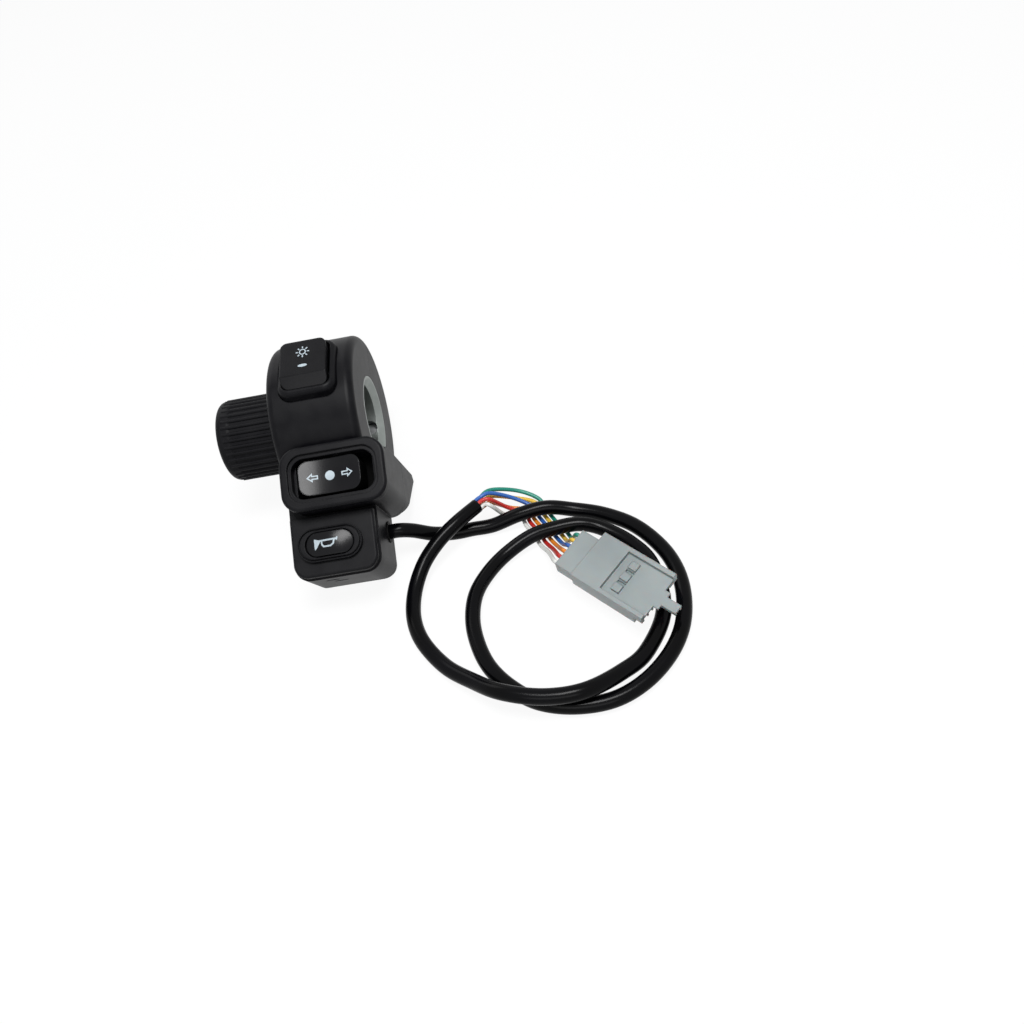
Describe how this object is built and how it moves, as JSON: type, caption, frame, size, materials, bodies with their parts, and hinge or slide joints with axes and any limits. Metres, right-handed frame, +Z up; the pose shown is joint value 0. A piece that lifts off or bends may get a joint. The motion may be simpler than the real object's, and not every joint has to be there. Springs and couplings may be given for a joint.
{
  "type": "handlebar switch cluster",
  "caption": "Handlebar switch cluster with a light rocker, a turn rocker, a horn button and a ribbed twist collar on a bar drum, with cable, leads and connector.",
  "frame": {"origin": "on the bar axis, at the middle of the drum", "axes": "+X along the bar, inboard, away from the collar; +Z up from the surface that the part lies on; +Y towards the light rocker's side"},
  "size_m": [0.1426, 0.1352, 0.0606],
  "materials": {
    "shell_plastic": "satin black, faint grain",
    "panel_plastic": "satin black",
    "cap_plastic": "gloss black with pale printed symbols",
    "collar_plastic": "matte black, ribbed",
    "liner_metal": "turned",
    "steel": "zinc plated",
    "contact_brass": "bright",
    "base_plastic": "buff laminate",
    "cable_pvc": "soft black vinyl",
    "grommet_rubber": "matte",
    "green_vinyl": "vinyl",
    "yellow_vinyl": "vinyl",
    "blue_vinyl": "vinyl",
    "orange_vinyl": "vinyl",
    "red_vinyl": "vinyl",
    "white_vinyl": "vinyl",
    "nylon": "translucent white nylon"
  },
  "bodies": {
    "housing": {"front_housing": "shell_plastic", "rear_housing": "shell_plastic", "horn_panel": "panel_plastic", "horn_surround": "shell_plastic", "turn_bezel": "shell_plastic", "light_bezel": "shell_plastic", "bar_liner": "liner_metal", "set_screw": "steel", "housing_screws": "steel", "collar_track": "contact_brass", "detent_pin": "steel", "detent_spring": "steel", "light_pivot_pin": "steel", "light_base": "base_plastic", "light_contacts": "contact_brass", "turn_pivot_pin": "steel", "turn_base": "base_plastic", "turn_contacts": "contact_brass", "horn_spring": "steel", "horn_base": "base_plastic", "horn_contacts": "contact_brass", "cable_grommet": "grommet_rubber", "cable_clamp": "steel", "clamp_screw": "steel", "inner_leads": "red_vinyl", "cable_sheath": "cable_pvc", "wire_green": "green_vinyl", "wire_yellow": "yellow_vinyl", "wire_blue": "blue_vinyl", "wire_orange": "orange_vinyl", "wire_red": "red_vinyl", "wire_white": "white_vinyl", "connector_housing": "nylon", "connector_terminals": "contact_brass"},
    "light_rocker": {"light_rocker": "cap_plastic", "light_plunger": "contact_brass", "light_spring": "steel"},
    "light_seesaw": {"light_seesaw": "contact_brass"},
    "turn_rocker": {"turn_rocker": "cap_plastic", "turn_plunger": "contact_brass", "turn_spring": "steel"},
    "turn_seesaw": {"turn_seesaw": "contact_brass"},
    "horn_button": {"horn_button": "cap_plastic", "horn_bridge": "contact_brass"},
    "twist_collar": {"twist_collar": "collar_plastic", "collar_wiper": "contact_brass"}
  },
  "joints": [
    {"name": "light_rock", "type": "hinge", "parent": "housing", "child": "light_rocker", "pos_m": [0, -0.00268, 0.02284], "axis": [1, 0, 0], "range_deg": [-12, 0]},
    {"name": "light_seesaw_rock", "type": "hinge", "parent": "housing", "child": "light_seesaw", "pos_m": [0, -0.00197, 0.01683], "axis": [1, 0, 0], "range_deg": [-0.2, 9.8]},
    {"name": "turn_rock", "type": "hinge", "parent": "housing", "child": "turn_rocker", "pos_m": [0.00475, -0.03197, 0.0053], "axis": [0, 0.8772, 0.48], "range_deg": [-8, 8]},
    {"name": "turn_seesaw_rock", "type": "hinge", "parent": "housing", "child": "turn_seesaw", "pos_m": [0.00475, -0.02739, -0.00307], "axis": [0, 0.8772, 0.48], "range_deg": [-6.6, 6.6]},
    {"name": "horn_press", "type": "slide", "parent": "housing", "child": "horn_button", "axis": [0, 0.48, -0.8772], "range_m": [0, 0.0022], "stiffness_N_per_m": 700, "springref_m": -0.001, "deforming": ["horn_spring"]},
    {"name": "collar_turn", "type": "hinge", "parent": "housing", "child": "twist_collar", "pos_m": [0, 0, 0], "axis": [1, 0, 0], "range_deg": [0, 60]}
  ],
  "couplings": [
    {"joint": "light_seesaw_rock", "follows": "light_rock", "ratio": -0.8},
    {"joint": "turn_seesaw_rock", "follows": "turn_rock", "ratio": -0.8}
  ]
}
